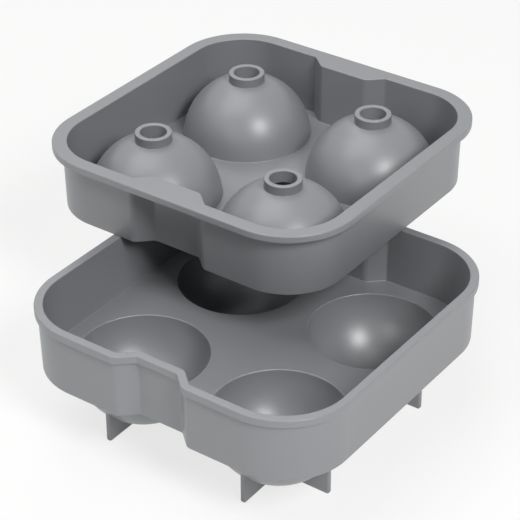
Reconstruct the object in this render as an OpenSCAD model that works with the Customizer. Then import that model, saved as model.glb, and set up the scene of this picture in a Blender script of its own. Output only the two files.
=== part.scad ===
// Four-cavity ice ball mould in flexible silicone, in two halves: a base tray with
// four half-round cups on cross-shaped feet, and a lid tray with four domes and filling
// spouts. The lid is laid askew across two rims of the base, with its flat underside on them.
// Millimetres, +Z up, z = 0 on the table, origin under the middle of the pair's footprint.

/* [Ice balls] */
// Diameter of an ice ball
ball_d = 45; // [36:0.5:46]
// Distance between neighbouring balls, the same both ways
pitch = 55.5; // [53:0.5:58]
// Wall of the cups and of the domes
shell_t = 1.5; // [1.2:0.1:2]

/* [Trays] */
// Width of the base tray over its rim, the same both ways
tray_w = 120; // [118:0.5:130]
// Radius of the rim's outer corners, seen from above
corner_r = 25; // [18:0.5:27]
// Depth of the base tray's basin, from its rim to its floor
basin_depth = 22.5; // [16:0.5:26]
// Floor of each tray
floor_t = 1.6; // [1.2:0.1:2.4]
// How far each wall leans inwards from its top to its foot
draft = 0.4; // [0.1:0.1:0.5]
// Bevel on the long edges
bevel = 0.35; // [0.2:0.05:0.5]

/* [Base tray rim] */
// Width of the rim's top
rim_w = 3.1; // [2.6:0.1:3.6]
// Height of the rim's band
rim_h = 2.8; // [2:0.1:4]
// How far the band stands out past the wall below it
rim_proud = 1.1; // [0.8:0.1:1.6]

/* [Lid tray] */
// Thickness of the lid's flange
flange_t = 2.6; // [2:0.1:4]
// How far the flange reaches past the base's rim on each side
flange_proud = 0.3; // [0:0.1:2]
// Wall of the lid
lid_wall_t = 1.7; // [1.4:0.1:2.6]
// Gap between the lid's wall and the base's basin when the mould is closed
nest_gap = 0.2; // [0.1:0.05:0.6]

/* [Finger notches] */
// Width of a notch at its mouth, on the base's rim
notch_w = 27; // [22:0.5:32]
// How far a notch reaches in
notch_depth = 5.1; // [4:0.1:6]
// Radius on the sharper side of each notch corner in the base
base_notch_r = 0.4; // [0.2:0.1:1]
// Radius on the sharper side of each notch corner in the lid
lid_notch_r = 1.2; // [0.4:0.1:1.6]

/* [Filling spouts] */
// Outside diameter of a spout
spout_d = 13.2; // [11:0.1:15]
// Bore of a spout
spout_bore = 9.4; // [6:0.1:10]
// How far a spout stands above the lid's rim
spout_rise = 1.4; // [0.5:0.1:4]

/* [Feet] */
// Thickness of a foot's fins
foot_t = 2; // [1.6:0.1:3]
// Reach of each fin from the middle of its cup
foot_reach = 20.2; // [16:0.1:21]
// How far the fins reach below the cups
foot_drop = 0.5; // [0.3:0.1:3]
// Rounding along a fin's lower edges
foot_edge_r = 0.5; // [0.3:0.1:0.6]
// Rounding of a fin's lower corners
foot_corner_r = 1; // [0.5:0.1:2]

/* [Lid's place] */
// Shift of the lid's middle from the base's middle, left
lid_dx = -36; // [-42:0.5:-24]
// Shift of the lid's middle from the base's middle, back
lid_dy = 53.5; // [36:0.5:58]

/* [Hidden] */
$fn = 96;
base_grey = [0.50, 0.51, 0.52];
lid_grey = [0.50, 0.51, 0.52];

ball_r = ball_d / 2;
cup_r = ball_r + shell_t;
base_h = basin_depth + cup_r + foot_drop;
base_half = tray_w / 2;
base_wall_h = basin_depth + floor_t;

// the lid's flange lands on the base's rim as the two floors meet
lid_h = basin_depth + flange_t;
flange_half = base_half + flange_proud;
lid_inset = rim_w + nest_gap;

// turn of the notch's flanks from the rim's line, and how far along the rim a flank runs;
// a line set in by d moves the flanks' ends along by flank_shift times d
flank_turn = 42;
flank_run = notch_depth / tan(flank_turn);
flank_shift = tan(flank_turn / 2);

// flat steps that round a notch's corner
bend_steps = 8;

// overlap that ties a floor or a plate into the wall around it
bite = 0.8;

// middle of the pair's footprint, measured from the base's middle
reach_x = [min(-base_half, lid_dx - flange_half), max(base_half, lid_dx + flange_half)];
reach_y = [min(-base_half, lid_dy - flange_half), max(base_half, lid_dy + flange_half)];
base_at = [-(reach_x[0] + reach_x[1]) / 2, -(reach_y[0] + reach_y[1]) / 2];
lid_at = [base_at[0] + lid_dx, base_at[1] + lid_dy];

// Repeats its children at the four ball centres
module at_balls() {
    for (x = [-1, 1], y = [-1, 1])
        translate([x * pitch / 2, y * pitch / 2, 0]) children();
}

// Rounded square, seen from above
module plain_outline(half, r) {
    for (turn = [0, 90])
        rotate(turn) square([2 * half, 2 * (half - r)], center = true);
    for (x = [-1, 1], y = [-1, 1])
        translate([x * (half - r), y * (half - r)]) circle(r);
}

// Rounded square with a notch in its front and back; inset is its distance inside the base's rim
module notched_outline(inset) {
    mouth = notch_w / 2 + inset * flank_shift;
    half = base_half - inset;
    difference() {
        plain_outline(half, corner_r - inset);
        for (turn = [0, 180])
            rotate(turn) polygon([[-mouth - 1, half + 1], [-mouth, half], [flank_run - mouth, half - notch_depth],
                                  [mouth - flank_run, half - notch_depth], [mouth, half], [mouth + 1, half + 1]]);
    }
}

// Sections are lists of [distance inwards from the path, height], listed anticlockwise
// from a corner that sees all the others.

// Base's wall under its rim band, with the rim's top at height 0
base_wall = [[rim_proud, -rim_h], [rim_proud + draft, bevel - base_wall_h],
             [rim_proud + draft + bevel, -base_wall_h], [rim_w + draft, -base_wall_h],
             [rim_w + draft, -basin_depth], [rim_w, -bevel], [rim_w - bevel, 0],
             [bevel, 0], [0, -bevel], [0, bevel - rim_h], [bevel, -rim_h]];

// Lid's wall, measured from its outer face and the flange's top
lid_wall = [[0, 0], [0, -flange_t], [draft, bevel - lid_h], [draft + bevel, -lid_h],
            [lid_wall_t + draft, -lid_h], [lid_wall_t + draft, floor_t - lid_h],
            [lid_wall_t, -bevel], [lid_wall_t - bevel, 0]];

// Outer edge of the lid's flange
flange_edge = [[bevel, 0], [0, -bevel], [0, bevel - flange_t], [bevel, -flange_t],
               [2 * bite, -flange_t], [2 * bite, 0]];

// Runs a section along a plain side, the one facing +X
module plain_side(section, half, r) {
    straight = half - r;
    translate([half, -straight, 0]) rotate([0, 0, 90]) rotate([90, 0, 90])
        linear_extrude(2 * straight) polygon(section);
}

// Runs a section round the corner between +X and +Y
module corner(section, half, r) {
    translate([half - r, half - r, 0]) rotate_extrude(angle = 90) translate([r, 0]) mirror([1, 0])
        polygon(section);
}

// Places round a notch's corner: each is [point on the path, unit direction inwards].
// side is 1 for a corner whose centre lies inside the tray and -1 for one outside.
function bend_places(c, r, side, from, to) =
    [for (i = [0:bend_steps]) let (a = from + (to - from) * i / bend_steps, d = [cos(a), sin(a)])
        [c + r * d, -side * d]];

// Runs a section along the side facing +Y, in and out of its notch.
// mouth_r and root_r are the path's radii at the mouth and at the root of the notch.
module notched_side(section, inset, mouth_r, root_r) {
    half = base_half - inset;
    straight = base_half - corner_r;
    mouth_x = notch_w / 2 + inset * flank_shift + mouth_r * flank_shift;
    root_x = notch_w / 2 + inset * flank_shift - flank_run - root_r * flank_shift;
    mouth_y = half - mouth_r;
    root_y = half - notch_depth + root_r;
    inwards = [0, -1];
    places = concat([[[straight, half], inwards]],
                    bend_places([mouth_x, mouth_y], mouth_r, 1, 90, 90 + flank_turn),
                    bend_places([root_x, root_y], root_r, -1, -90 + flank_turn, -90),
                    bend_places([-root_x, root_y], root_r, -1, -90, -90 - flank_turn),
                    bend_places([-mouth_x, mouth_y], mouth_r, 1, 90 - flank_turn, 90),
                    [[[-straight, half], inwards]]);
    n = len(section);
    last = len(places) - 1;
    polyhedron(
        points = [for (p = places, q = section) let (xy = p[0] + q[0] * p[1]) [xy[0], xy[1], q[1]]],
        faces = concat([[for (j = [0:n - 1]) j]], [[for (j = [n - 1:-1:0]) last * n + j]],
                       [for (i = [0:last - 1], j = [0:n - 1]) let (k = (j + 1) % n)
                           [i * n + j, (i + 1) * n + j, (i + 1) * n + k, i * n + k]]));
}

// Runs a section all the way round a tray without notches
module around_plain(section, half, r) {
    for (turn = [0, 90, 180, 270]) rotate(turn) {
        plain_side(section, half, r);
        corner(section, half, r);
    }
}

// Runs a section all the way round a tray with its two notches
module around_notched(section, inset, mouth_r, root_r) {
    for (turn = [0, 180]) rotate(turn) {
        plain_side(section, base_half - inset, corner_r - inset);
        notched_side(section, inset, mouth_r, root_r);
    }
    for (turn = [0, 90, 180, 270]) rotate(turn)
        corner(section, base_half - inset, corner_r - inset);
}

// Blank of a fin with its two lower corners rounded
module fin_blank(w, h, r) {
    translate([-w / 2, r]) square([w, h - r]);
    translate([r - w / 2, 0]) square([w - 2 * r, h]);
    for (side = [-1, 1])
        translate([side * (w / 2 - r), r]) circle(r);
}

// One fin of a foot, standing on the table, its length along X
module fin() {
    fin_h = cup_r + foot_drop;
    intersection() {
        rotate([90, 0, 0]) translate([0, 0, -foot_t]) linear_extrude(2 * foot_t)
            fin_blank(2 * foot_reach, fin_h, foot_corner_r);
        rotate([90, 0, 90]) translate([0, 0, -foot_reach - 1]) linear_extrude(2 * foot_reach + 2)
            fin_blank(foot_t, fin_h, foot_edge_r);
    }
}

// Half ball, its flat face on z = 0 and its round side up
module half_ball(r) {
    difference() {
        sphere(r);
        translate([-r - 1, -r - 1, -r - 1]) cube([2 * r + 2, 2 * r + 2, r + 1]);
    }
}

// Base tray: basin with four cups, standing on crossed fins
module base_tray() {
    cup_z = cup_r + foot_drop;
    floor_inset = rim_w + draft - bite;
    color(base_grey) difference() {
        union() {
            translate([0, 0, base_h])
                around_notched(base_wall, 0, rim_w + draft + base_notch_r, base_notch_r);
            translate([0, 0, base_h - base_wall_h]) linear_extrude(floor_t) notched_outline(floor_inset);
            at_balls() {
                translate([0, 0, cup_z]) mirror([0, 0, 1]) half_ball(cup_r);
                for (turn = [0, 90]) rotate(turn) fin();
            }
        }
        at_balls() translate([0, 0, cup_z]) {
            sphere(ball_r);
            translate([0, 0, -bevel]) cylinder(h = 2 * bevel, r1 = ball_r, r2 = ball_r + 2 * bevel);
        }
    }
}

// Lid tray: flanged tray with four domes that close the cups, each with its filling spout
module lid_tray() {
    plate_inset = lid_inset + bite;
    floor_inset = lid_inset + lid_wall_t + draft - bite;
    spout_h = lid_h + spout_rise;
    color(lid_grey) difference() {
        union() {
            translate([0, 0, lid_h]) {
                around_plain(flange_edge, flange_half, corner_r + flange_proud);
                around_notched(lid_wall, lid_inset, lid_wall_t + draft + lid_notch_r, lid_notch_r);
            }
            translate([0, 0, lid_h - flange_t]) linear_extrude(flange_t) difference() {
                plain_outline(flange_half - bite, corner_r + flange_proud - bite);
                notched_outline(plate_inset);
            }
            linear_extrude(floor_t) notched_outline(floor_inset);
            at_balls() {
                half_ball(cup_r);
                translate([0, 0, ball_r]) cylinder(h = spout_h - ball_r - bevel, d = spout_d);
                translate([0, 0, spout_h - bevel]) cylinder(h = bevel, d1 = spout_d, d2 = spout_d - 2 * bevel);
            }
        }
        at_balls() {
            sphere(ball_r);
            translate([0, 0, ball_r - spout_bore]) cylinder(h = spout_h, d = spout_bore);
            translate([0, 0, spout_h - bevel]) cylinder(h = 2 * bevel, d1 = spout_bore, d2 = spout_bore + 4 * bevel);
        }
    }
}

translate([base_at[0], base_at[1], 0]) base_tray();
translate([lid_at[0], lid_at[1], base_h]) lid_tray();
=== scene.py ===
"""Ice ball mould in two grey silicone halves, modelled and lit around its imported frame."""
import logging
import math
from collections.abc import Callable, Sequence
from dataclasses import dataclass, field
from enum import Enum

import bmesh
import bpy
from mathutils import Matrix, Vector


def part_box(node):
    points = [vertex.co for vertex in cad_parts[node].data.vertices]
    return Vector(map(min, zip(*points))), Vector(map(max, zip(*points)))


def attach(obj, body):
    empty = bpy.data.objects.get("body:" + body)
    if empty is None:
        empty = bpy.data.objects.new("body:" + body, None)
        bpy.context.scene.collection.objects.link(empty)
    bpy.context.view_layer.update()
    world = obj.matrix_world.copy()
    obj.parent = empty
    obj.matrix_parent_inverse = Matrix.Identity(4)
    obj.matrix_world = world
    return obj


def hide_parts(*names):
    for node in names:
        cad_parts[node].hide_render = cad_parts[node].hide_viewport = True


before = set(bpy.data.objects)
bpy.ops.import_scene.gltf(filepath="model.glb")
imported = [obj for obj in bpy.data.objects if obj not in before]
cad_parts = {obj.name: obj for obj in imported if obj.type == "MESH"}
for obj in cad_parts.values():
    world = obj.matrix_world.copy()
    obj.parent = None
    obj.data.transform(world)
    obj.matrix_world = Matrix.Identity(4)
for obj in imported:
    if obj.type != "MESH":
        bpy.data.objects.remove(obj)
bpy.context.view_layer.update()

log = logging.getLogger("ice_ball_mould")

# Meshes are modelled in millimetres round their own tray's middle, then placed in metres.
MM = 0.001
# Points closer than this, in millimetres, are one point.
WELD = 0.002
# A corner of a plan within this of a given place, in millimetres, is the one meant.
NEAR = 0.01
# Steps round a tray's corner, a notch's corner, an edge's rounding and a whole turn.
CORNER_STEPS = 28
NOTCH_STEPS = 6
EDGE_STEPS = 4
TURN_STEPS = 112
# Steps down the curve of a cup or a dome.
BOWL_STEPS = 30
# Degrees from a cup's rounded mouth to the first point of its curve.
MOUTH_STEP_DEG = 1.0
# Creases steeper than this stay crisp.
CREASE_DEG = 38.0
# How much more a large face counts than a small one where their shading meets.
FACE_WEIGHT = 80
# Turn of a notch's flanks from the rim's line.
FLANK = math.radians(42.0)

# A place in plan, or a point of a section as distance and height, in millimetres.
Point = tuple[float, float]


class Part(Enum):
    """What a selection in edit mode is made of."""

    VERTS = "VERT"
    EDGES = "EDGE"
    FACES = "FACE"


class Work(Enum):
    """How one solid is worked into another."""

    ADD = "UNION"
    CUT = "DIFFERENCE"


def take_none() -> None:
    """Leaves edit mode and deselects everything."""
    if bpy.context.mode != "OBJECT":
        bpy.ops.object.mode_set(mode="OBJECT")
    bpy.ops.object.select_all(action="DESELECT")


def take(piece: bpy.types.Object) -> None:
    """Makes a piece the only one selected, and the active one.

    Args:
        piece: the object that the next operators act on.
    """
    take_none()
    piece.select_set(True)
    bpy.context.view_layer.objects.active = piece


def pick(piece: bpy.types.Object, part: Part, test: Callable[..., bool]) -> int:
    """Selects, in edit mode, only what passes a test.

    Args:
        piece: the object in edit mode.
        part: whether vertices, edges or faces are tested.
        test: is called with each of them and says whether it is wanted.

    Returns:
        How many were selected.
    """
    bpy.ops.mesh.select_mode(type=part.value)
    bpy.ops.mesh.select_all(action="DESELECT")
    mesh = bmesh.from_edit_mesh(piece.data)
    pool = {Part.VERTS: mesh.verts, Part.EDGES: mesh.edges, Part.FACES: mesh.faces}[part]
    wanted = [item for item in pool if test(item)]
    for item in wanted:
        item.select_set(True)
    mesh.select_flush_mode()
    bmesh.update_edit_mesh(piece.data)
    return len(wanted)


def beside(value: float, size: float) -> bool:
    """Says whether a coordinate lies a given size from 0, on either side."""
    return abs(abs(value) - size) < NEAR


def weld() -> None:
    """Merges, in edit mode, all points that lie together."""
    bpy.ops.mesh.select_all(action="SELECT")
    bpy.ops.mesh.remove_doubles(threshold=WELD)


def arc(centre: Point, radius: float, start: float, end: float,
        steps: int = EDGE_STEPS) -> list[Point]:
    """Places points along an arc of a section.

    Args:
        centre: the arc's centre, as distance and height.
        radius: the arc's radius.
        start: angle of the first point, in degrees.
        end: angle of the last point, in degrees.
        steps: how many straight steps make the arc.

    Returns:
        The points, both ends included.
    """
    angles = [math.radians(start + (end - start) * i / steps) for i in range(steps + 1)]
    return [(centre[0] + radius * math.cos(a), centre[1] + radius * math.sin(a)) for a in angles]


def join(name: str, pieces: Sequence[bpy.types.Object]) -> bpy.types.Object:
    """Joins pieces into one and welds the points that they share.

    Args:
        name: the joined piece's name.
        pieces: the pieces to join.

    Returns:
        The joined piece.
    """
    take(pieces[0])
    for piece in pieces:
        piece.select_set(True)
    bpy.ops.object.join()
    joined = bpy.context.active_object
    joined.name = name
    bpy.ops.object.mode_set(mode="EDIT")
    weld()
    bpy.ops.object.mode_set(mode="OBJECT")
    return joined


def copies(piece: bpy.types.Object, places: Sequence[Point]) -> list[bpy.types.Object]:
    """Puts a copy of a piece, with its own mesh, at each place and removes the original.

    Args:
        piece: the piece, modelled round the origin.
        places: where the copies go, in plan.

    Returns:
        The copies, their places in their meshes.
    """
    made = []
    for place in places:
        take(piece)
        bpy.ops.object.duplicate(linked=False)
        copy = bpy.context.active_object
        copy.location = (place[0], place[1], 0.0)
        bpy.ops.object.transform_apply(location=True, rotation=False, scale=False)
        made.append(copy)
    bpy.data.objects.remove(piece)
    return made


def spun(name: str, section: Sequence[Point]) -> bpy.types.Object:
    """Draws a section point by point and spins it round the upright axis.

    Args:
        name: the new piece's name.
        section: the section's points, as radius and height.

    Returns:
        The spun skin, open at both ends of the section unless they lie on the axis.
    """
    take_none()
    bpy.ops.mesh.primitive_plane_add(size=1.0)
    piece = bpy.context.active_object
    piece.name = name
    bpy.ops.object.mode_set(mode="EDIT")
    bpy.ops.mesh.select_mode(type=Part.VERTS.value)
    bpy.ops.mesh.select_all(action="SELECT")
    bpy.ops.mesh.merge(type="CENTER")
    bpy.ops.transform.translate(value=(section[0][0], 0.0, section[0][1]))
    for here, there in zip(section, section[1:]):
        step = (there[0] - here[0], 0.0, there[1] - here[1])
        bpy.ops.mesh.extrude_vertices_move(TRANSFORM_OT_translate={"value": step})
    bpy.ops.mesh.select_all(action="SELECT")
    bpy.ops.mesh.spin(steps=TURN_STEPS, angle=math.tau, center=(0.0, 0.0, 0.0),
                      axis=(0.0, 0.0, 1.0))
    weld()
    bpy.ops.object.mode_set(mode="OBJECT")
    return piece


def cover(piece: bpy.types.Object, height: float) -> None:
    """Fills the flat between the open edges that lie at one height.

    Args:
        piece: the piece whose open edges are closed.
        height: their height in millimetres.
    """
    def open_there(edge: bmesh.types.BMEdge) -> bool:
        """Says whether an edge is open and lies at the height."""
        return edge.is_boundary and all(abs(v.co.z - height) < WELD for v in edge.verts)

    take(piece)
    bpy.ops.object.mode_set(mode="EDIT")
    found = pick(piece, Part.EDGES, open_there)
    bpy.ops.mesh.fill(use_beauty=True)
    bpy.ops.object.mode_set(mode="OBJECT")
    log.info("%s: a flat at %.2f mm closes %d open edges", piece.name, height, found)


def face_outwards(piece: bpy.types.Object) -> None:
    """Turns every face of a closed skin outwards.

    Args:
        piece: the closed skin.
    """
    take(piece)
    bpy.ops.object.mode_set(mode="EDIT")
    bpy.ops.mesh.select_all(action="SELECT")
    bpy.ops.mesh.normals_make_consistent(inside=False)
    bpy.ops.object.mode_set(mode="OBJECT")


def combine(piece: bpy.types.Object, tool: bpy.types.Object, how: Work) -> None:
    """Works one solid into another and deletes the tool.

    Args:
        piece: the solid that is changed.
        tool: the solid that is added to it or cut from it.
        how: whether it is added or cut.
    """
    take(piece)
    bpy.ops.object.modifier_add(type="BOOLEAN")
    modifier = piece.modifiers[-1]
    modifier.operation = how.value
    modifier.solver = "EXACT"
    modifier.object = tool
    bpy.ops.object.modifier_apply(modifier=modifier.name)
    bpy.data.objects.remove(tool)


@dataclass(frozen=True)
class Outline:
    """A tray's outline from above: a rounded square, with or without its two notches."""

    half: float
    corner_r: float
    notch_half: float = 0.0
    notch_depth: float = 0.0
    mouth_r: float = 0.0
    root_r: float = 0.0

    @property
    def root_half(self) -> float:
        """Half of the notch's width at its root."""
        return self.notch_half - self.notch_depth / math.tan(FLANK)

    def inset(self, by: float) -> "Outline":
        """Sets the outline in, with every radius following.

        Args:
            by: how far in.

        Returns:
            The inner outline.
        """
        return Outline(self.half - by, self.corner_r - by,
                       self.notch_half + by * math.tan(FLANK / 2.0), self.notch_depth,
                       self.mouth_r - by, self.root_r + by)

    def plate(self, name: str, height: float) -> bpy.types.Object:
        """Models a flat face of this outline.

        Args:
            name: the new piece's name.
            height: the height of the face.

        Returns:
            The piece in edit mode, one face round the origin.
        """
        take_none()
        bpy.ops.mesh.primitive_plane_add(size=2.0 * self.half, location=(0.0, 0.0, height))
        piece = bpy.context.active_object
        piece.name = name
        bpy.ops.object.transform_apply(location=True, rotation=False, scale=False)
        bpy.ops.object.mode_set(mode="EDIT")
        if self.notch_depth > 0.0:
            self.indent(piece)
        edge = self.half - NEAR
        self.round_corners(piece, lambda v: abs(v.co.x) > edge and abs(v.co.y) > edge,
                           self.corner_r, CORNER_STEPS)
        if self.notch_depth > 0.0:
            turn = math.tan(FLANK / 2.0)
            root = self.half - self.notch_depth
            self.round_corners(
                piece, lambda v: beside(v.co.x, self.notch_half) and abs(v.co.y) > edge,
                self.mouth_r * turn, NOTCH_STEPS)
            self.round_corners(
                piece, lambda v: beside(v.co.x, self.root_half) and beside(v.co.y, root),
                self.root_r * turn, NOTCH_STEPS)
        return piece

    def indent(self, piece: bpy.types.Object) -> None:
        """Presses the two notches into the square's front and back.

        Args:
            piece: the square, in edit mode.
        """
        for x in (-self.notch_half, -self.root_half, self.root_half, self.notch_half):
            bpy.ops.mesh.select_all(action="SELECT")
            bpy.ops.mesh.bisect(plane_co=(x, 0.0, 0.0), plane_no=(1.0, 0.0, 0.0))
        root = self.root_half + NEAR
        for side in (-1.0, 1.0):
            pick(piece, Part.VERTS, lambda v: abs(v.co.x) < root and v.co.y * side > 0.0)
            bpy.ops.transform.translate(value=(0.0, -side * self.notch_depth, 0.0))
        pick(piece, Part.EDGES, lambda e: not e.is_boundary)
        bpy.ops.mesh.dissolve_edges(use_verts=False)

    @staticmethod
    def round_corners(piece: bpy.types.Object, test: Callable[..., bool], length: float,
                      steps: int) -> None:
        """Rounds some corners of the face.

        Args:
            piece: the face, in edit mode.
            test: says whether a corner is one of them.
            length: how far the rounding runs along each edge.
            steps: how many straight steps make it.
        """
        pick(piece, Part.VERTS, test)
        bpy.ops.mesh.bevel(offset_type="OFFSET", offset=length, segments=steps,
                           affect="VERTICES", clamp_overlap=False)

    def skirt(self, name: str, section: Sequence[Point]) -> bpy.types.Object:
        """Models a band that follows the outline with a given section.

        Args:
            name: the new piece's name.
            section: points as distance inwards and height, never turning back outwards.

        Returns:
            The band, open at both ends of its section.
        """
        start = section[0]
        piece = self.inset(start[0]).plate(name, start[1])
        pick(piece, Part.FACES, lambda f: True)
        for here, there in zip(section, section[1:]):
            bpy.ops.mesh.inset(thickness=there[0] - here[0], depth=there[1] - here[1],
                               use_even_offset=True)
        bpy.ops.mesh.delete(type="ONLY_FACE")
        bpy.ops.object.mode_set(mode="OBJECT")
        return piece


def how_far(tree: bpy.types.NodeTree, place: bpy.types.NodeSocket) -> bpy.types.NodeSocket:
    """Adds a node that measures how far a place lies from the origin.

    Args:
        tree: the nodes that it joins.
        place: the socket that gives the place.

    Returns:
        The socket that gives the distance.
    """
    node = tree.nodes.new("ShaderNodeVectorMath")
    node.operation = "LENGTH"
    tree.links.new(place, node.inputs[0])
    return node.outputs["Value"]


def ranged(tree: bpy.types.NodeTree, value: bpy.types.NodeSocket, across: Point, onto: Point,
           eased: bool = False) -> bpy.types.NodeSocket:
    """Adds a node that carries one range of a value onto another.

    Args:
        tree: the nodes that it joins.
        value: the socket that gives the value.
        across: where the range starts and ends.
        onto: what its start and its end become.
        eased: whether the way between them starts and ends gently.

    Returns:
        The socket that gives the new value.
    """
    node = tree.nodes.new("ShaderNodeMapRange")
    node.interpolation_type = "SMOOTHSTEP" if eased else "LINEAR"
    for name, amount in zip(("From Min", "From Max", "To Min", "To Max"), (*across, *onto)):
        node.inputs[name].default_value = amount
    tree.links.new(value, node.inputs["Value"])
    return node.outputs["Result"]


def noise(tree: bpy.types.NodeTree, place: bpy.types.NodeSocket, scale: float) -> bpy.types.Node:
    """Adds a noise pattern.

    Args:
        tree: the nodes that it joins.
        place: the socket that the pattern lies on.
        scale: how fine the pattern is.

    Returns:
        The pattern's node.
    """
    node = tree.nodes.new("ShaderNodeTexNoise")
    node.inputs["Scale"].default_value = scale
    tree.links.new(place, node.inputs["Vector"])
    return node


def seen_ray(tree: bpy.types.NodeTree) -> bpy.types.NodeSocket:
    """Adds nodes that tell the rays that show a surface from those that only light the mould.

    Args:
        tree: the nodes of a material or of the world.

    Returns:
        A socket that is 1 for camera, glossy and transmission rays and 0 for all others.
    """
    path = tree.nodes.new("ShaderNodeLightPath")
    seen = path.outputs["Is Camera Ray"]
    for name in ("Is Glossy Ray", "Is Transmission Ray"):
        either = tree.nodes.new("ShaderNodeMath")
        either.operation = "MAXIMUM"
        tree.links.new(seen, either.inputs[0])
        tree.links.new(path.outputs[name], either.inputs[1])
        seen = either.outputs["Value"]
    return seen


@dataclass(frozen=True)
class Silicone:
    """Moulded silicone: an even matt grey, faint bloom, shinier where it shapes the balls."""

    name: str = "grey_silicone"
    grey: tuple[float, float, float] = (0.207, 0.214, 0.226)
    bloom: tuple[float, float, float] = (0.225, 0.231, 0.242)
    roughness: float = 0.38
    roughness_spread: float = 0.03
    bloom_scale: float = 28.0
    bloom_detail: float = 4.0
    grain_scale: float = 2600.0
    grain_depth: float = 0.00002
    specular: float = 0.62
    polished_specular: float = 1.0
    polish_fade: float = 0.0004

    @staticmethod
    def from_ball(tree: bpy.types.NodeTree, place: bpy.types.NodeSocket, middle: Vector,
                  half_pitch: float) -> bpy.types.NodeSocket:
        """Adds nodes that measure how far a place lies from the nearest ball's centre.

        Args:
            tree: the material's nodes.
            place: the socket that gives the place.
            middle: the point midway between the four balls, in metres.
            half_pitch: half the distance between neighbouring balls, in metres.

        Returns:
            The socket that gives the distance.
        """
        for operation, amount in (("SUBTRACT", middle), ("ABSOLUTE", Vector()),
                                  ("SUBTRACT", Vector((half_pitch, half_pitch, 0.0)))):
            step = tree.nodes.new("ShaderNodeVectorMath")
            step.operation = operation
            step.inputs[1].default_value = amount
            tree.links.new(place, step.inputs[0])
            place = step.outputs["Vector"]
        return how_far(tree, place)

    def material(self, middle: Vector, half_pitch: float, ball_r: float) -> bpy.types.Material:
        """Builds the material's nodes.

        Args:
            middle: the point midway between the four balls, in metres.
            half_pitch: half the distance between neighbouring balls, in metres.
            ball_r: radius of a ball, in metres.

        Returns:
            The material, with its patterns on object coordinates.
        """
        material = bpy.data.materials.new(self.name)
        material.use_nodes = True
        tree = material.node_tree
        shader = tree.nodes["Principled BSDF"]
        place = tree.nodes.new("ShaderNodeTexCoord").outputs["Object"]
        polished = ball_r + self.polish_fade
        polish = ranged(tree, self.from_ball(tree, place, middle, half_pitch),
                        (polished, polished + self.polish_fade),
                        (self.polished_specular, self.specular))
        tree.links.new(polish, shader.inputs["Specular IOR Level"])
        bloom = noise(tree, place, self.bloom_scale)
        bloom.inputs["Detail"].default_value = self.bloom_detail
        tint = tree.nodes.new("ShaderNodeMix")
        tint.data_type = "RGBA"
        tint.inputs["A"].default_value = (*self.grey, 1.0)
        tint.inputs["B"].default_value = (*self.bloom, 1.0)
        tree.links.new(bloom.outputs["Fac"], tint.inputs["Factor"])
        tree.links.new(tint.outputs["Result"], shader.inputs["Base Color"])
        rough = ranged(tree, bloom.outputs["Fac"], (0.0, 1.0),
                       (self.roughness - self.roughness_spread,
                        self.roughness + self.roughness_spread))
        tree.links.new(rough, shader.inputs["Roughness"])
        bump = tree.nodes.new("ShaderNodeBump")
        bump.inputs["Distance"].default_value = self.grain_depth
        grain = noise(tree, place, self.grain_scale)
        tree.links.new(grain.outputs["Fac"], bump.inputs["Height"])
        tree.links.new(bump.outputs["Normal"], shader.inputs["Normal"])
        return material


@dataclass
class Tray:
    """What the two halves share: where they stand, the balls' places and the finish."""

    finish: Silicone
    node: str = ""
    moulding: str = ""
    ball_r: float = 22.5
    shell_t: float = 1.5
    pitch: float = 55.5
    basin_depth: float = 22.5
    floor_t: float = 1.6
    draft: float = 0.4
    rim_w: float = 3.1
    edge_r: float = 0.35
    crease_r: float = 0.3
    notch_half: float = 13.5
    notch_depth: float = 5.1
    corner_r: float = 25.0
    low: Vector = field(init=False)
    high: Vector = field(init=False)

    def __post_init__(self) -> None:
        """Reads the node's box, in millimetres."""
        low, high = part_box(self.node)
        self.low = low / MM
        self.high = high / MM

    @property
    def middle(self) -> Vector:
        """Middle of the tray in plan, at height 0."""
        middle = (self.low + self.high) / 2.0
        return Vector((middle.x, middle.y, 0.0))

    @property
    def ball_plane(self) -> float:
        """Height of the balls' centres."""
        return self.low.z

    @property
    def shell_r(self) -> float:
        """Outer radius of a cup or a dome."""
        return self.ball_r + self.shell_t

    @property
    def ball_places(self) -> list[Point]:
        """Middles of the four balls round the tray's middle."""
        half = self.pitch / 2.0
        return [(x * half, y * half) for x in (-1.0, 1.0) for y in (-1.0, 1.0)]

    def finished(self, piece: bpy.types.Object) -> bpy.types.Object:
        """Turns a modelled tray into a finished piece in the frame.

        Args:
            piece: the closed skin, in millimetres round the tray's middle.

        Returns:
            The piece in metres, with its normals, creases and finish.
        """
        take(piece)
        piece.location = self.middle * MM
        piece.scale = (MM, MM, MM)
        bpy.ops.object.transform_apply(location=True, rotation=False, scale=True)
        bpy.ops.object.shade_smooth_by_angle(angle=math.radians(CREASE_DEG))
        bpy.ops.object.modifier_add(type="WEIGHTED_NORMAL")
        weighted = piece.modifiers[-1]
        weighted.keep_sharp = True
        weighted.weight = FACE_WEIGHT
        bpy.ops.object.modifier_apply(modifier=weighted.name)
        piece.data.materials.clear()
        balls = (self.middle + Vector((0.0, 0.0, self.ball_plane))) * MM
        piece.data.materials.append(
            self.finish.material(balls, self.pitch / 2.0 * MM, self.ball_r * MM))
        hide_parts(self.node)
        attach(piece, "root")
        return piece


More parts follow.
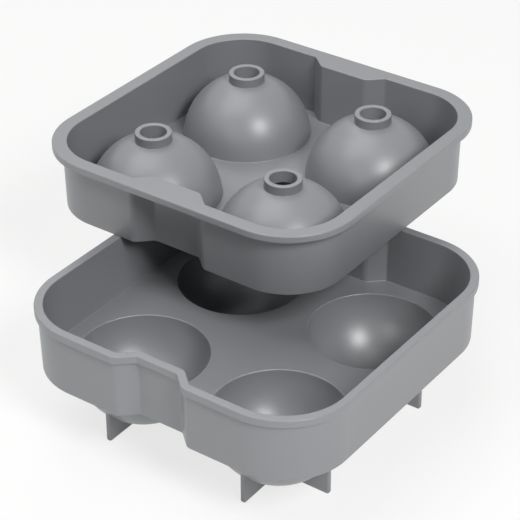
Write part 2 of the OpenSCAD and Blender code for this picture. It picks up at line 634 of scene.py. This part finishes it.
@dataclass
class BaseTray(Tray):
    """The lower half: a basin with four cups, standing on crossed fins."""

    node: str = "base_tray"
    moulding: str = "base_moulding"
    rim_h: float = 2.8
    rim_proud: float = 1.1
    notch_r: float = 0.4
    cup_foot_r: float = 0.8
    fin_t: float = 2.0
    fin_reach: float = 20.2
    fin_edge_r: float = 0.7

    @property
    def outline(self) -> Outline:
        """Outer outline of the rim."""
        mouth_r = self.rim_w + self.draft + self.notch_r
        return Outline((self.high.x - self.low.x) / 2.0, self.corner_r, self.notch_half,
                       self.notch_depth, mouth_r, self.notch_r)

    @property
    def floor(self) -> float:
        """Height of the basin's floor."""
        return self.high.z - self.basin_depth

    @property
    def ball_plane(self) -> float:
        """Height of the balls' centres, on the basin's floor."""
        return self.floor

    def inner_section(self) -> list[Point]:
        """Draws the section of the rim's top and the basin's wall.

        Returns:
            The points from the rim's outer edge to the basin's floor.
        """
        top = self.high.z
        edge = self.edge_r
        crease = self.crease_r
        foot = self.rim_w + self.draft
        return [*arc((edge, top - edge), edge, 180.0, 90.0),
                *arc((self.rim_w - edge, top - edge), edge, 90.0, 0.0),
                *arc((foot + crease, self.floor + crease), crease, 180.0, 270.0)]

    def outer_section(self) -> list[Point]:
        """Draws the section of the rim's band and the outer wall.

        Returns:
            The points from the rim's outer edge to the floor's underside.
        """
        top = self.high.z
        band = top - self.rim_h
        under = self.floor - self.floor_t
        edge = self.edge_r
        crease = self.crease_r
        foot = self.rim_proud + self.draft
        return [(0.0, top - edge),
                *arc((edge, band + edge), edge, 180.0, 270.0),
                *arc((self.rim_proud - crease, band - crease), crease, 90.0, 0.0),
                *arc((foot + edge, under + edge), edge, 180.0, 270.0)]

    def cup_inside(self) -> bpy.types.Object:
        """Models the inside of a cup.

        Returns:
            The skin from the cup's rounded mouth to its lowest point.
        """
        edge = self.edge_r
        mouth = math.degrees(math.asin(edge / self.ball_r)) + MOUTH_STEP_DEG
        section = [*arc((self.ball_r + edge, self.floor - edge), edge, 90.0, 180.0),
                   *arc((0.0, self.floor), self.ball_r, -mouth, -90.0, BOWL_STEPS)]
        return spun("cup_inside", section)

    def cup_outside(self) -> bpy.types.Object:
        """Models the outside of a cup.

        Returns:
            The skin from the fillet under the floor to the cup's lowest point.
        """
        foot = self.cup_foot_r
        drop = self.floor_t + foot
        reach = math.sqrt((self.shell_r + foot) ** 2 - drop ** 2)
        meet = math.degrees(math.atan2(drop, reach))
        section = [*arc((reach, self.floor - drop), foot, 90.0, 180.0 - meet),
                   *arc((0.0, self.floor), self.shell_r, -meet, -90.0, BOWL_STEPS)[1:]]
        return spun("cup_outside", section)

    def fin(self, along_x: bool) -> bpy.types.Object:
        """Models one fin plate, rounded round its lower edges and up its ends.

        Args:
            along_x: whether it runs along X or along Y.

        Returns:
            The plate, from the table up into the cup.
        """
        take_none()
        bpy.ops.mesh.primitive_cube_add(size=1.0, location=(0.0, 0.0, self.floor / 2.0))
        piece = bpy.context.active_object
        long, thin = 2.0 * self.fin_reach, self.fin_t
        piece.scale = (long, thin, self.floor) if along_x else (thin, long, self.floor)
        bpy.ops.object.transform_apply(location=True, rotation=False, scale=True)
        bpy.ops.object.mode_set(mode="EDIT")
        pick(piece, Part.EDGES, lambda e: any(v.co.z < WELD for v in e.verts))
        bpy.ops.mesh.bevel(offset=self.fin_edge_r, segments=EDGE_STEPS, affect="EDGES")
        bpy.ops.object.mode_set(mode="OBJECT")
        return piece

    def cross(self) -> bpy.types.Object:
        """Models the crossed fins under one cup.

        Returns:
            The cross, hollowed where the cup's wall takes over.
        """
        piece = self.fin(along_x=True)
        combine(piece, self.fin(along_x=False), Work.ADD)
        take_none()
        bpy.ops.mesh.primitive_uv_sphere_add(segments=TURN_STEPS, ring_count=TURN_STEPS // 2,
                                             radius=self.ball_r + self.shell_t / 2.0,
                                             location=(0.0, 0.0, self.floor))
        combine(piece, bpy.context.active_object, Work.CUT)
        piece.name = "crossed_fins"
        return piece

    def build(self) -> bpy.types.Object:
        """Models the whole base tray as one closed skin.

        Returns:
            The finished piece.
        """
        skins = [self.outline.skirt("basin_wall", self.inner_section()),
                 self.outline.skirt("outer_wall", self.outer_section()),
                 *copies(self.cup_inside(), self.ball_places),
                 *copies(self.cup_outside(), self.ball_places)]
        piece = join(self.moulding, skins)
        cover(piece, self.floor)
        cover(piece, self.floor - self.floor_t)
        face_outwards(piece)
        combine(piece, join("fins", copies(self.cross(), self.ball_places)), Work.ADD)
        return self.finished(piece)


@dataclass
class LidTray(Tray):
    """The upper half: a flanged tray with four domes, each with a filling spout."""

    node: str = "lid_tray"
    moulding: str = "lid_moulding"
    flange_t: float = 2.6
    flange_proud: float = 0.3
    wall_t: float = 1.7
    nest_gap: float = 0.2
    notch_r: float = 1.2
    dome_foot_r: float = 0.3
    spout_r: float = 6.6
    spout_bore_r: float = 4.7
    spout_foot_r: float = 0.2
    spout_rise: float = 1.4

    @property
    def top(self) -> float:
        """Height of the flange's top."""
        return self.ball_plane + self.basin_depth + self.flange_t

    @property
    def flange(self) -> Outline:
        """Outer outline of the flange."""
        return Outline((self.high.x - self.low.x) / 2.0, self.corner_r + self.flange_proud)

    @property
    def wall(self) -> Outline:
        """Sets the wall's outer face in from the base's rim.

        Returns:
            The outline of that face.
        """
        inset = self.rim_w + self.nest_gap
        mouth_r = inset + self.wall_t + self.draft + self.notch_r
        rim = Outline(self.flange.half - self.flange_proud, self.corner_r, self.notch_half,
                      self.notch_depth, mouth_r, self.notch_r - inset)
        return rim.inset(inset)

    def build(self) -> bpy.types.Object:
        """Models the whole lid tray as one closed skin.

        Returns:
            The finished piece.
        """
        edge = self.edge_r
        crease = self.crease_r
        top = self.top
        under_flange = top - self.flange_t
        foot = self.wall_t + self.draft
        lowest = self.ball_plane
        floor = lowest + self.floor_t
        upper_edge = arc((edge, top - edge), edge, 90.0, 180.0)[::-1]
        lower_edge = [(0.0, top - edge), *arc((edge, under_flange + edge), edge, 180.0, 270.0)]
        inside = [*arc((self.wall_t - edge, top - edge), edge, 90.0, 0.0),
                  *arc((foot + crease, floor + crease), crease, 180.0, 270.0)]
        outside = [*arc((-crease, under_flange - crease), crease, 90.0, 0.0),
                   *arc((self.draft + edge, lowest + edge), edge, 180.0, 270.0)]
        skins = [self.flange.skirt("flange_upper_edge", upper_edge),
                 self.flange.skirt("flange_lower_edge", lower_edge),
                 self.wall.skirt("wall_inside", inside),
                 self.wall.skirt("wall_outside", outside),
                 *copies(self.dome(), self.ball_places)]
        piece = join(self.moulding, skins)
        for height in (top, under_flange, floor, lowest):
            cover(piece, height)
        face_outwards(piece)
        return self.finished(piece)

    def dome(self) -> bpy.types.Object:
        """Models a dome with its spout and its hollow, in one spun section.

        Returns:
            The skin from the fillet on the floor, over the spout, to the hollow's mouth.
        """
        lowest = self.ball_plane
        foot = self.dome_foot_r
        rise = self.floor_t + foot
        reach = math.sqrt((self.shell_r + foot) ** 2 - rise ** 2)
        meet = math.degrees(math.atan2(rise, reach))
        neck = self.spout_r + self.spout_foot_r
        neck_z = math.sqrt((self.shell_r + self.spout_foot_r) ** 2 - neck ** 2)
        neck_turn = math.degrees(math.atan2(neck_z, neck))
        spout_top = self.top + self.spout_rise
        edge = self.edge_r
        bore = self.spout_bore_r
        mouth = math.degrees(math.acos(bore / self.ball_r))
        neck_arc = arc((neck, lowest + neck_z), self.spout_foot_r, 180.0 + neck_turn, 180.0)
        section = [*arc((reach, lowest + rise), foot, 270.0, 180.0 + meet),
                   *arc((0.0, lowest), self.shell_r, meet, neck_turn, BOWL_STEPS)[1:],
                   *neck_arc[1:],
                   *arc((self.spout_r - edge, spout_top - edge), edge, 0.0, 90.0),
                   *arc((bore + edge, spout_top - edge), edge, 90.0, 180.0),
                   *arc((0.0, lowest), self.ball_r, mouth, 0.0, BOWL_STEPS)]
        return spun("dome", section)


@dataclass(frozen=True)
class Softbox:
    """A square soft lamp: its place in degrees, its width in metres and its power in watts."""

    name: str
    azimuth: float
    elevation: float
    width: float
    watts: float


@dataclass
class Studio:
    """Pale floor, soft lamps and the camera that took the picture.

    The camera's angles are in degrees, its distance and aim in millimetres from the middle
    of the base's rim, its focal length and frame in pixels. Floor and lamps are in metres.
    """

    azimuth: float = 35.86
    elevation: float = 32.68
    roll: float = -0.32
    distance: float = 656.9
    focal_px: float = 1939.5
    frame_px: float = 520.0
    aim: tuple[float, float] = (-8.94, 13.16)
    sensor: float = 36.0
    floor_half: float = 3.0
    floor_roughness: float = 0.9
    floor_tint: tuple[float, float, float] = (1.0, 1.0, 0.995)
    floor_white: float = 0.8
    floor_shade_glow: float = 0.15
    floor_glow: float = 0.57
    floor_dim_r: float = 0.05
    floor_lit_r: float = 0.20
    floor_seen_white: float = 0.21
    floor_seen_glow: float = 0.75
    lamp_reach: float = 1.3
    lamps: tuple[Softbox, ...] = (
        Softbox("key_lamp", -22.0, 44.0, 0.4, 11.8),
        Softbox("overhead_softbox", -150.0, 75.0, 1.0, 8.0),
        Softbox("back_softbox", 135.0, 52.0, 0.5, 2.6),
        Softbox("front_softbox", -90.0, 30.0, 0.5, 1.5),
        Softbox("left_softbox", -135.0, 52.0, 0.5, 1.0),
        Softbox("far_left_softbox", 180.0, 30.0, 0.5, 0.5),
    )

    def camera(self, base: BaseTray) -> None:
        """Adds the camera.

        Args:
            base: the tray that the camera's place is given from.
        """
        azimuth = math.radians(self.azimuth)
        elevation = math.radians(self.elevation)
        roll = math.radians(self.roll)
        back = Vector((math.sin(azimuth) * math.cos(elevation),
                       -math.cos(azimuth) * math.cos(elevation), math.sin(elevation)))
        right = Vector((math.cos(azimuth), math.sin(azimuth), 0.0))
        up = back.cross(right)
        across = right * math.cos(roll) + up * math.sin(roll)
        upright = back.cross(across)
        target = base.middle + Vector((self.aim[0], self.aim[1], base.high.z))
        data = bpy.data.cameras.new("camera")
        data.sensor_width = self.sensor
        data.lens = self.focal_px / self.frame_px * self.sensor
        camera = bpy.data.objects.new("camera", data)
        turned = Matrix((across, upright, back)).transposed().to_4x4()
        camera.matrix_world = Matrix.Translation((target + back * self.distance) * MM) @ turned
        bpy.context.scene.collection.objects.link(camera)
        bpy.context.scene.camera = camera

    def floor_finish(self) -> bpy.types.Material:
        """Builds the floor's material: one look for what is seen, one for what lights the mould.

        Returns:
            The material. As a light, it is dimmer under the mould than round it.
        """
        material = bpy.data.materials.new("pale_floor")
        material.use_nodes = True
        tree = material.node_tree
        plain = tree.nodes["Principled BSDF"]
        seen = tree.nodes.new("ShaderNodeBsdfPrincipled")
        for shader, white in ((plain, self.floor_white), (seen, self.floor_seen_white)):
            shader.inputs["Base Color"].default_value = (white, white, white, 1.0)
            shader.inputs["Roughness"].default_value = self.floor_roughness
            shader.inputs["Specular IOR Level"].default_value = 0.0
            shader.inputs["Emission Color"].default_value = (*self.floor_tint, 1.0)
        seen.inputs["Emission Strength"].default_value = self.floor_seen_glow
        away = how_far(tree, tree.nodes.new("ShaderNodeTexCoord").outputs["Object"])
        glow = ranged(tree, away, (self.floor_dim_r, self.floor_lit_r),
                      (self.floor_shade_glow, self.floor_glow), eased=True)
        tree.links.new(glow, plain.inputs["Emission Strength"])
        mix = tree.nodes.new("ShaderNodeMixShader")
        tree.links.new(seen_ray(tree), mix.inputs["Fac"])
        tree.links.new(plain.outputs["BSDF"], mix.inputs[1])
        tree.links.new(seen.outputs["BSDF"], mix.inputs[2])
        tree.links.new(mix.outputs["Shader"], tree.nodes["Material Output"].inputs["Surface"])
        return material

    def floor(self) -> None:
        """Adds the pale floor, which keeps the mould's shadow."""
        take_none()
        bpy.ops.mesh.primitive_plane_add(size=2.0 * self.floor_half)
        floor = bpy.context.active_object
        floor.name = "floor"
        floor.data.materials.append(self.floor_finish())

    def light(self) -> None:
        """Hangs the soft lamps round the mould."""
        for box in self.lamps:
            turn, rise = math.radians(box.azimuth), math.radians(box.elevation)
            place = Vector((math.cos(turn) * math.cos(rise), math.sin(turn) * math.cos(rise),
                            math.sin(rise)))
            data = bpy.data.lights.new(box.name, "AREA")
            data.size = box.width
            data.energy = box.watts
            lamp = bpy.data.objects.new(box.name, data)
            lamp.location = place * self.lamp_reach
            lamp.rotation_euler = place.to_track_quat("Z", "Y").to_euler()
            bpy.context.scene.collection.objects.link(lamp)

    def backdrop(self) -> None:
        """Makes the world white where it is seen or mirrored, and dark as a source of light."""
        world = bpy.data.worlds.new("studio")
        bpy.context.scene.world = world
        world.use_nodes = True
        background = world.node_tree.nodes["Background"]
        background.inputs["Color"].default_value = (1.0, 1.0, 1.0, 1.0)
        world.node_tree.links.new(seen_ray(world.node_tree), background.inputs["Strength"])

    def build(self, base: BaseTray) -> None:
        """Adds the whole stage.

        Args:
            base: the tray that stands on the floor.
        """
        self.camera(base)
        self.floor()
        self.light()
        self.backdrop()


def main() -> None:
    """Builds the studio and both halves, and reports each piece."""
    logging.basicConfig(level=logging.INFO, format="%(name)s: %(message)s")
    bpy.context.scene.view_settings.view_transform = "Standard"
    silicone = Silicone()
    base = BaseTray(finish=silicone)
    Studio().build(base)
    for tray in (base, LidTray(finish=silicone)):
        piece = tray.build()
        log.info("%s: %d faces", piece.name, len(piece.data.polygons))


if __name__ == "__main__":
    main()
